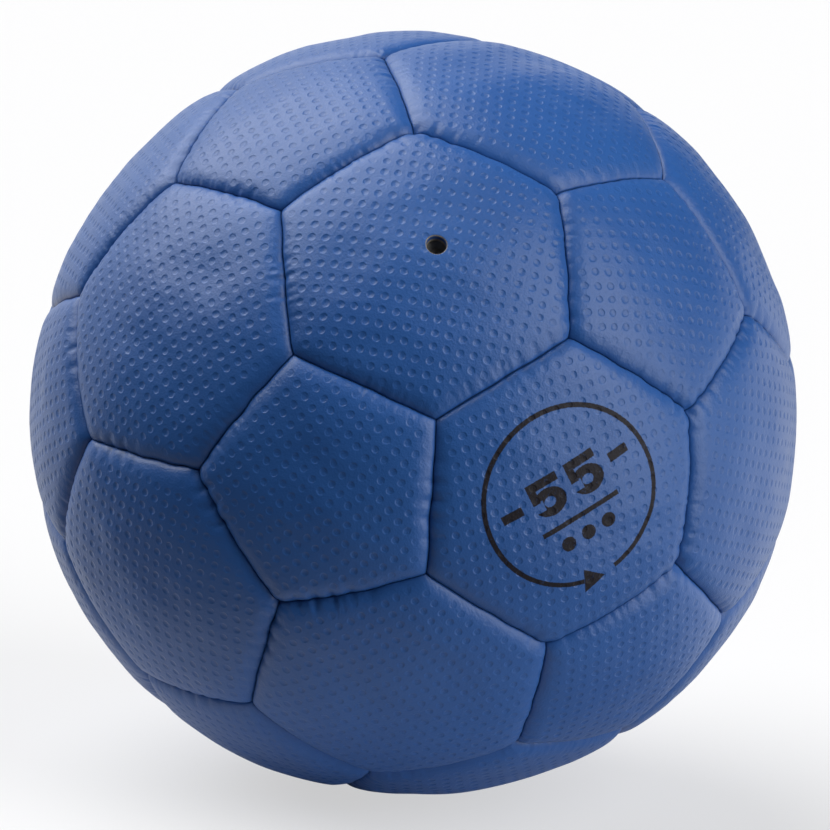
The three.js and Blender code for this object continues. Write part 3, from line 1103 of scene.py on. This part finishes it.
def camera_ray(tree):
    """1 for what the camera sees, and 0 for the light that the surface gives."""
    return add_node(tree, "ShaderNodeLightPath", output="Is Camera Ray")


def principled(tree, colour, roughness, normal, ior=1.5):
    """The plain surface shader."""
    sockets = {"Base Color": colour, "Roughness": roughness, "Normal": normal, "IOR": ior}
    return add_node(tree, "ShaderNodeBsdfPrincipled", None, sockets)


def finish_tree(tree, shader, kind="ShaderNodeOutputMaterial"):
    """Ends a tree in its output node."""
    add_node(tree, kind, None, {"Surface": shader}, None)


def parts(tree, vector):
    """The three parts of a vector."""
    return [add_node(tree, "ShaderNodeSeparateXYZ", None, {0: vector}, output) for output in range(3)]


def point_value(tree, name):
    """A piece's own number for each point."""
    return add_node(tree, "ShaderNodeAttribute", {"attribute_name": name}, output="Fac")


def grained_skin(name, ink_mask=None):
    """The embossed skin: soft satin blue with worn rims, pits darkened by painted shade and dust, and
    painted shade down in the seams.
    """
    cover, colours = bpy.context.scene.ball_cover, bpy.context.scene.ball_cover_colours
    material, tree, where = new_material(name)
    groove = tuple(colours.groove)
    across, up, _ = parts(tree, add_node(tree, "ShaderNodeUVMap", {"uv_map": "grain"}))
    from_pit = [(part - part.math("ROUND")) * (cover.pit_pitch / MM) for part in (across, up)]
    distance = (from_pit[0] ** 2 + from_pit[1] ** 2).math("SQRT")
    pits, seam = point_value(tree, "pits"), point_value(tree, "seam")
    rim = cover.pit_width / 2 / MM
    floor = 1 - distance.rise(0.7 * rim, rim)
    lip = distance.rise(0.9 * rim, 1.1 * rim) * (1 - distance.rise(1.1 * rim, 1.5 * rim))
    pores = noise(tree, where, PORE_SCALE, 3)
    leather = noise(tree, where, LEATHER_SCALE, 2)
    cloud = noise(tree, where, CLOUD_SCALE, 3)
    height = pits * (lip * LIP_BUMP - floor * PIT_BUMP) + pores * PORE_BUMP + leather * LEATHER_BUMP
    shade = blend(tree, cloud.rise(0.3, 0.7), (0.95, 0.95, 0.96), (1.04, 1.04, 1.03))
    skin = blend(tree, 1.0, tuple(colours.skin), shade, "MULTIPLY")
    # Painted shade and dust: the pit floors are darkened towards the groove colour.
    skin = blend(tree, floor * pits * PIT_SHADE_AND_DUST, skin, groove)
    # Painted shade: the skin is darkened towards the groove colour close to each seam.
    skin = blend(tree, (1 - seam.rise(0.0, 0.08)) * SEAM_SHADE, skin, groove)
    normal = bumped(tree, height, MM)
    shader = principled(tree, skin, 0.3 + cloud * 0.08 + leather * 0.08, normal, SKIN_IOR)
    if ink_mask is not None:
        printed = principled(tree, (*colours.ink, 1), 0.55, normal, INK_IOR)
        worn = noise(tree, where, 1500, 3).rise(0.28, 0.42)
        shader = mixed(tree, ink_mask(tree, where) * (0.84 + worn * 0.14), shader, printed)
    finish_tree(tree, shader)
    return material


def skin_material(is_printed):
    """The skin, with or without the printed ring and number."""
    if is_printed:
        return shared("printed_skin", grained_skin, print_mask)
    return shared("blue_skin", grained_skin)


def box_depth(x, y, left, right, bottom, top):
    """How deep a place lies inside an upright box, negative outside."""
    return (x - left).least(right - x).least((y - bottom).least(top - y))


def far_from(x, y):
    """Distance of a place from the origin of its plane."""
    return (x**2 + y**2).math("SQRT")


def figure_five(x, y, sizes):
    """How deep a place lies inside a figure 5 whose foot stands at y 0, with x 0 at its middle."""
    half = sizes.figure_width / 2
    top = sizes.figure_height
    stroke = sizes.figure_stroke
    bowl = 0.36 * top
    flag = box_depth(x, y, -0.9 * half, 0.88 * half, top - stroke, top)
    stem = box_depth(x, y, -0.9 * half, stroke - 0.95 * half, 1.25 * bowl, top)
    curve = stroke / 2 - (far_from(x / 1.22, y - bowl) - (bowl - stroke / 2)).size()
    open_side = (x + 0.35 * half).most(y - 1.35 * bowl).most(bowl * 0.62 - y)
    return flag.most(stem).most(curve.least(open_side))


def ring_and_arrow(x, y, sizes):
    """How deep a place lies inside the open ring and the arrowhead on its end, about the ring's middle."""
    start = sizes.gap_start
    cosine, sine = math.cos(start), math.sin(start)
    gap_middle = (start + sizes.gap_end) / 2 - 2 * math.pi
    from_gap = (y.math("ARCTAN2", x) - gap_middle).size() - (sizes.gap_end - start) / 2
    from_line = (far_from(x, y) - sizes.ring_radius).size()
    ring = (sizes.line / 2 - from_line).least(from_gap * sizes.ring_radius)
    across, up = x - sizes.ring_radius * cosine, y - sizes.ring_radius * sine
    along, aside = across * -sine + up * cosine, across * cosine + up * sine
    narrowing = (sizes.arrow_length - along) * (sizes.arrow_width / 2 / sizes.arrow_length)
    return ring.most((narrowing - aside.size()).least(along))


def print_mask(tree, where):
    """1 on the printed ring, arrowhead, number, dashes, bar and dots, and 0 on bare skin.

    The place on the panel is measured along its own print's right and up directions from the
    middle of the panel.
    """
    cover, sizes = bpy.context.scene.ball_cover, bpy.context.scene.ball_print
    turn = panel_turn(node_middle(PRINTED_PANEL, HEXAGON_MIDDLES))
    outward = add_node(tree, "ShaderNodeVectorMath", {"operation": "NORMALIZE"}, {0: where})
    settings = {"operation": "DOT_PRODUCT"}
    sines = [
        add_node(tree, "ShaderNodeVectorMath", settings, {0: outward, 1: tuple(way)}, "Value")
        for way in circle(np.array((sizes.turn, sizes.turn + math.pi / 2))) @ turn[:2]
    ]
    x, y = (sine.math("ARCSINE") * cover.crown_radius for sine in sines)
    half_bar = sizes.bar_length / 2
    low = sizes.bar_height - sizes.bar_width / 2
    bar = box_depth(x, y, -half_bar, half_bar, low, low + sizes.bar_width)
    half_space = sizes.figure_space / 2
    feet = y - sizes.figure_foot
    figures = [figure_five(x - place, feet, sizes) for place in (-half_space, half_space)]
    dash_low = sizes.figure_foot + (sizes.figure_height - sizes.figure_stroke) / 2
    dash_start, dash_end = (sizes.dash_place + end * sizes.dash_length / 2 for end in (-1, 1))
    dashes = box_depth(x.size(), y, dash_start, dash_end, dash_low, dash_low + sizes.figure_stroke)
    nearest_dot = (x / sizes.dot_pitch).math("ROUND").least(1).most(-1) * sizes.dot_pitch
    dots = sizes.dot_width / 2 - far_from(x - nearest_dot, y - (sizes.bar_height - sizes.dot_drop))
    marks = [ring_and_arrow(x, y - sizes.lift, sizes), bar, *figures, dashes, dots]
    ragged = (noise(tree, where, 2400, 2) - 0.5) * sizes.ragged
    return (functools.reduce(Value.most, marks) + ragged).rise(-sizes.soft / 2, sizes.soft / 2)


def fibrous(name, colour, fibres, shades, depth, roughness):
    """Fibres, whose noise gives both the colour, between two shares of it, and the bump."""
    material, tree, where = new_material(name)
    strands = noise(tree, where, *fibres)
    dark, light = (tuple(share * part for part in colour) for share in shades)
    shade = blend(tree, strands, dark, light)
    finish_tree(tree, principled(tree, shade, roughness, bumped(tree, strands, depth)))
    return material


def cut_edge_material():
    """The pale foam and cloth seen where the laminate is cut."""
    edge = tuple(bpy.context.scene.ball_cover_colours.cut_edge)
    return shared("cut_laminate", fibrous, edge, (3500, 4, 0.7), (0.55, 1.0), 0.25 * MM, 0.9)


def thread_material():
    """Waxed twisted thread."""
    twine = tuple(bpy.context.scene.ball_cover_colours.thread)
    return shared("waxed_thread", fibrous, twine, (5200, 3, 0.6), (0.6, 1.4), 0.08 * MM, 0.55)


def lining_material():
    """The plain-woven cloth glued to the inside of the skin."""
    return shared("cloth_lining", woven, tuple(bpy.context.scene.ball_cover_colours.lining))


def woven(name, cloth):
    """Plain-woven cloth: a sine across each way of its threads, with some fuzz."""
    material, tree, where = new_material(name)
    x, y, z = parts(tree, where)
    thread = 2 * math.pi / (0.7 * MM)
    weave = ((x + z) * thread).math("SINE") * ((y - z) * thread).math("SINE")
    fuzz = noise(tree, where, 2200, 3)
    colour = blend(tree, weave * 0.3 + fuzz * 0.5, tuple(0.6 * part for part in cloth), cloth)
    normal = bumped(tree, weave * 0.5 + fuzz * 0.4, 0.15 * MM)
    finish_tree(tree, principled(tree, colour, 0.95, normal))
    return material


def rubber(name, colour, roughness):
    """Moulded rubber with a dusty bloom and fine mould texture."""
    material, tree, where = new_material(name)
    bloom = noise(tree, where, 420, 4, 0.6)
    fine = noise(tree, where, 3200, 3)
    dusty = tuple(min(1.0, 1.5 * part + 0.02) for part in colour)
    shade = blend(tree, bloom.rise(0.35, 0.7), colour, dusty)
    normal = bumped(tree, fine + bloom, 0.05 * MM)
    finish_tree(tree, principled(tree, shade, roughness + bloom * 0.15, normal))
    return material


# Operators


class BallPieceOperator:
    """What every operator of the ball shares."""

    bl_options = {"REGISTER", "UNDO"}

    @staticmethod
    def nodes_called(start):
        """The CAD nodes whose names start so, in order."""
        names = sorted(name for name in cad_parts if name.startswith(start))
        if not names:
            raise RuntimeError(f"the packed parts have no node whose name starts with {start}")
        return names


class BALL_OT_hexagon_panels(BallPieceOperator, bpy.types.Operator):
    """Makes the hexagon panels of the cover"""

    bl_idname = "ball.hexagon_panels"
    bl_label = "Hexagon panels"

    def execute(self, context):
        cover = context.scene.ball_cover
        for node in self.nodes_called("hexagon_panel"):
            make_panel(node, HEXAGON, cover.hexagon_rings, cover.hexagon_rings // cover.inner_share)
        return {"FINISHED"}


class BALL_OT_pentagon_panels(BallPieceOperator, bpy.types.Operator):
    """Makes the pentagon panels of the cover"""

    bl_idname = "ball.pentagon_panels"
    bl_label = "Pentagon panels"

    def execute(self, context):
        cover = context.scene.ball_cover
        for node in self.nodes_called("pentagon_panel"):
            make_panel(node, PENTAGON, cover.pentagon_rings, cover.pentagon_rings // cover.inner_share)
        return {"FINISHED"}


class BALL_OT_valve_panel(BallPieceOperator, bpy.types.Operator):
    """Makes the hexagon panel with the needle hole"""

    bl_idname = "ball.valve_panel"
    bl_label = "Valve panel"

    def execute(self, context):
        rings = context.scene.ball_cover.valve_rings
        make_panel("valve_panel", HEXAGON, rings, rings, context.scene.ball_valve)
        return {"FINISHED"}


class BALL_OT_seam_thread(BallPieceOperator, bpy.types.Operator):
    """Makes the twisted thread that runs down in every seam"""

    bl_idname = "ball.seam_thread"
    bl_label = "Seam thread"

    def execute(self, context):
        cover = context.scene.ball_cover
        points, triangles = twisted_threads(*seam_ends(), cover)
        piece = make_piece("seam_thread_strands", settled(points, cover), triangles, [thread_material()])
        stand_for(piece, "seam_thread")
        return {"FINISHED"}


class BALL_OT_bladder(BallPieceOperator, bpy.types.Operator):
    """Makes the thin bladder with its neck round the valve's stem"""

    bl_idname = "ball.bladder"
    bl_label = "Bladder"

    def execute(self, context):
        cover, valve = context.scene.ball_cover, context.scene.ball_valve
        outside = valve_heights(cover, valve)["bladder"]
        inside = outside - valve.bladder_wall
        neck = valve.stem_radius + cover.fit_gap
        steps = valve.bladder_sides // 2
        outer = np.linspace(-math.pi / 2, math.acos(neck / outside), steps)
        inner = np.linspace(math.acos(neck / inside), -math.pi / 2, steps)
        outline = np.concatenate((outside * circle(outer), inside * circle(inner)))
        latex = shared("latex", rubber, tuple(context.scene.ball_valve_colours.bladder), 0.5)
        make_revolved("bladder", outline, False, valve.bladder_sides, latex)
        return {"FINISHED"}


class BALL_OT_valve_body(BallPieceOperator, bpy.types.Operator):
    """Makes the moulded valve body: boss, flange and stem"""

    bl_idname = "ball.valve_body"
    bl_label = "Valve body"

    def execute(self, context):
        cover, valve = context.scene.ball_cover, context.scene.ball_valve
        at = valve_heights(cover, valve)
        room = valve.core_head_radius + cover.fit_gap
        bore = valve.core_shank_radius + cover.fit_gap
        rim = math.sqrt(at["flange"] ** 2 - valve.flange_radius**2)
        edge = 0.3 * valve.flange_thickness
        small = 0.2 * valve.boss_round
        corners = [
            (bore, at["stem_end"], 0),
            (valve.stem_radius, at["stem_end"], valve.boss_round),
            (valve.stem_radius, at["flange"], small),
            (valve.flange_radius, rim, edge),
            (valve.flange_radius, rim + valve.flange_thickness, edge),
            (valve.boss_radius, at["flange"] + valve.flange_thickness, valve.boss_round),
            (valve.boss_radius, at["boss_top"], valve.boss_round),
            (valve.mouth_radius + valve.mouth_flare, at["boss_top"], valve.boss_round),
            (valve.mouth_radius, at["room_top"], small),
            (room, at["room_top"], small),
            (room, at["room_bottom"], small),
            (bore, at["room_bottom"], small),
            (bore, at["stem_end"] + small, 0),
        ]
        tan = shared("valve_rubber", rubber, tuple(context.scene.ball_valve_colours.body), 0.45)
        make_revolved("valve_body", rounded_profile(corners), True, valve.sides, tan)
        return {"FINISHED"}


class BALL_OT_valve_core(BallPieceOperator, bpy.types.Operator):
    """Makes the self-sealing core with its blind needle channel"""

    bl_idname = "ball.valve_core"
    bl_label = "Valve core"

    def execute(self, context):
        cover, valve = context.scene.ball_cover, context.scene.ball_valve
        at = valve_heights(cover, valve)
        small = 0.4 * valve.boss_round
        corners = [
            (0, at["core_end"], 0),
            (valve.core_shank_radius, at["core_end"], 2 * small),
            (valve.core_shank_radius, at["core_shoulder"], small),
            (valve.core_head_radius, at["core_shoulder"], small),
            (valve.core_head_radius, at["core_top"], 2 * small),
            (valve.needle_channel, at["core_top"], small),
            (valve.needle_channel, at["core_end"] + valve.seal, small),
            (0, at["core_end"] + valve.seal, 0),
        ]
        brown = shared("core_rubber", rubber, tuple(context.scene.ball_valve_colours.core), 0.4)
        make_revolved("valve_core", rounded_profile(corners), False, valve.sides, brown)
        return {"FINISHED"}


# Stage


def picture_frame(stage):
    """The camera's right, up and back directions, from its azimuth, elevation and roll."""
    flat = math.cos(stage.elevation)
    back = Vector(
        (math.sin(stage.azimuth) * flat, -math.cos(stage.azimuth) * flat, math.sin(stage.elevation))
    )
    level = Vector((0, 0, 1)).cross(back).normalized()
    up = back.cross(level) * math.cos(stage.roll) + level * math.sin(stage.roll)
    return up.cross(back), up, back


def add_lamp(name, frame_of_picture, lean, spread, strength):
    """A wide soft lamp, far away: its lean is towards the picture's right, up and back."""
    data = bpy.data.lights.new(name, "SUN")
    data.angle = spread
    data.energy = strength
    lamp = bpy.data.objects.new(name, data)
    towards = sum((part * axis for part, axis in zip(lean, frame_of_picture)), Vector())
    lamp.matrix_world = towards.to_track_quat("Z", "Y").to_matrix().to_4x4()
    bpy.context.scene.collection.objects.link(lamp)


def floor_material(stage, crown_radius):
    """A plain floor: white to the camera where it is lit, and darker in the ball's shadow.

    The ball gets light from the floor only where a bright patch lies round its foot. Elsewhere the
    light of the low lamps comes through the floor, which looks the same to the camera throughout.
    """
    material, tree, where = new_material("pale_floor")
    x, y, _ = parts(tree, where)
    away = far_from(x, y) / crown_radius
    patch = 1 - away.rise(stage.patch_start, stage.patch_end)
    skirt = 1 - away.rise(stage.skirt_start, stage.skirt_end)
    brightness = patch * (1 - stage.skirt_share) + skirt * stage.skirt_share
    lit, pale = (
        add_node(tree, "ShaderNodeBsdfDiffuse", None, {"Color": (*colour, 1)})
        for colour in (stage.floor, stage.patch)
    )
    clear = add_node(tree, "ShaderNodeBsdfTransparent")
    lift = {"Color": (1, 1, 1, 1), "Strength": stage.floor_lift}
    glow = add_node(tree, "ShaderNodeEmission", None, lift)
    shown = add_node(tree, "ShaderNodeAddShader", None, {0: lit, 1: glow})
    finish_tree(tree, mixed(tree, camera_ray(tree), mixed(tree, brightness, clear, pale), shown))
    return material


def add_world(stage):
    """A soft pale light from all round, white to the camera."""
    world = bpy.data.worlds.new("soft_studio")
    world.use_nodes = True
    tree = world.node_tree
    tree.nodes.clear()
    strength = camera_ray(tree) * (stage.backdrop - stage.sky) + stage.sky
    sockets = {"Color": (1, 1, 1, 1), "Strength": strength}
    finish_tree(tree, add_node(tree, "ShaderNodeBackground", None, sockets), "ShaderNodeOutputWorld")
    bpy.context.scene.world = world


def add_floor(stage, crown_radius):
    """A wide flat floor just under the ball's lowest point. The low lamps shine through it."""
    lowest = min(corner[2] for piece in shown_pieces() for corner in piece.bound_box)
    reach = stage.floor_reach
    corners = np.array(((-reach, -reach), (reach, -reach), (reach, reach), (-reach, reach)))
    points = np.column_stack((corners, np.full(4, lowest)))
    triangles = np.array(((0, 1, 2), (0, 2, 3)))
    floor = make_piece("floor", points, triangles, [floor_material(stage, crown_radius)])
    floor.visible_shadow = False
    floor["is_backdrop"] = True


def add_camera(stage, cover):
    """The camera that sees the ball as the photograph does.

    A ball of radius 1 seen from a distance d has an outline of radius f / root(d d - 1), where f
    is the focal length, so f comes from the outline's radius in the photograph.
    """
    right, up, back = picture_frame(stage)
    focal = stage.ball_radius * math.sqrt(stage.distance**2 - 1)
    width = stage.picture_width
    data = bpy.data.cameras.new("camera")
    data.sensor_width = 36
    data.lens = focal / width * data.sensor_width
    data.shift_x = (width / 2 - stage.ball_x) / width
    data.shift_y = (stage.ball_y - width / 2) / width
    data.clip_start, data.clip_end = 0.01, 100
    camera = bpy.data.objects.new("camera", data)
    turn = Matrix((right, up, back)).transposed().to_4x4()
    camera.matrix_world = Matrix.Translation(back * stage.distance * cover.crown_radius) @ turn
    bpy.context.scene.collection.objects.link(camera)
    bpy.context.scene.camera = camera


class BALL_OT_stage(BallPieceOperator, bpy.types.Operator):
    """Makes the floor, the lamps, the soft sky and the camera"""

    bl_idname = "ball.stage"
    bl_label = "Stage"

    def execute(self, context):
        stage, cover = context.scene.ball_stage, context.scene.ball_cover
        view = picture_frame(stage)
        add_floor(stage, cover.crown_radius)
        for name in LAMPS:
            settings = [getattr(stage, f"{name}_{part}") for part in ("lean", "spread", "strength")]
            add_lamp(f"{name}_lamp", view, *settings)
        add_world(stage)
        add_camera(stage, cover)
        context.scene.view_settings.view_transform = "Standard"
        return {"FINISHED"}


class BALL_PT_panel(bpy.types.Panel):
    """Lists the ball's pieces and their sizes"""

    bl_idname = "BALL_PT_panel"
    bl_label = "Hand-sewn ball"
    bl_space_type = "VIEW_3D"
    bl_region_type = "UI"
    bl_category = "Ball"

    def draw(self, context):
        for operator in OPERATORS:
            self.layout.operator(operator.bl_idname)
        for name, group in SETTINGS.items():
            box = self.layout.box()
            box.label(text=group.__doc__)
            for field in group.__annotations__:
                box.prop(getattr(context.scene, name), field)


OPERATORS = (
    BALL_OT_hexagon_panels,
    BALL_OT_pentagon_panels,
    BALL_OT_valve_panel,
    BALL_OT_seam_thread,
    BALL_OT_bladder,
    BALL_OT_valve_body,
    BALL_OT_valve_core,
    BALL_OT_stage,
)


def register():
    """Registers the settings, the operators and the sidebar's panel."""
    for name, group in SETTINGS.items():
        bpy.utils.register_class(group)
        setattr(bpy.types.Scene, name, PointerProperty(type=group))
    for operator in OPERATORS:
        bpy.utils.register_class(operator)
    bpy.utils.register_class(BALL_PT_panel)


def unregister():
    """Takes back what register did."""
    bpy.utils.unregister_class(BALL_PT_panel)
    for operator in reversed(OPERATORS):
        bpy.utils.unregister_class(operator)
    for name, group in reversed(SETTINGS.items()):
        delattr(bpy.types.Scene, name)
        bpy.utils.unregister_class(group)


def main():
    """Builds every piece and the stage."""
    register()
    for operator in OPERATORS:
        family, name = operator.bl_idname.split(".")
        getattr(getattr(bpy.ops, family), name)()


if __name__ == "__main__":
    main()
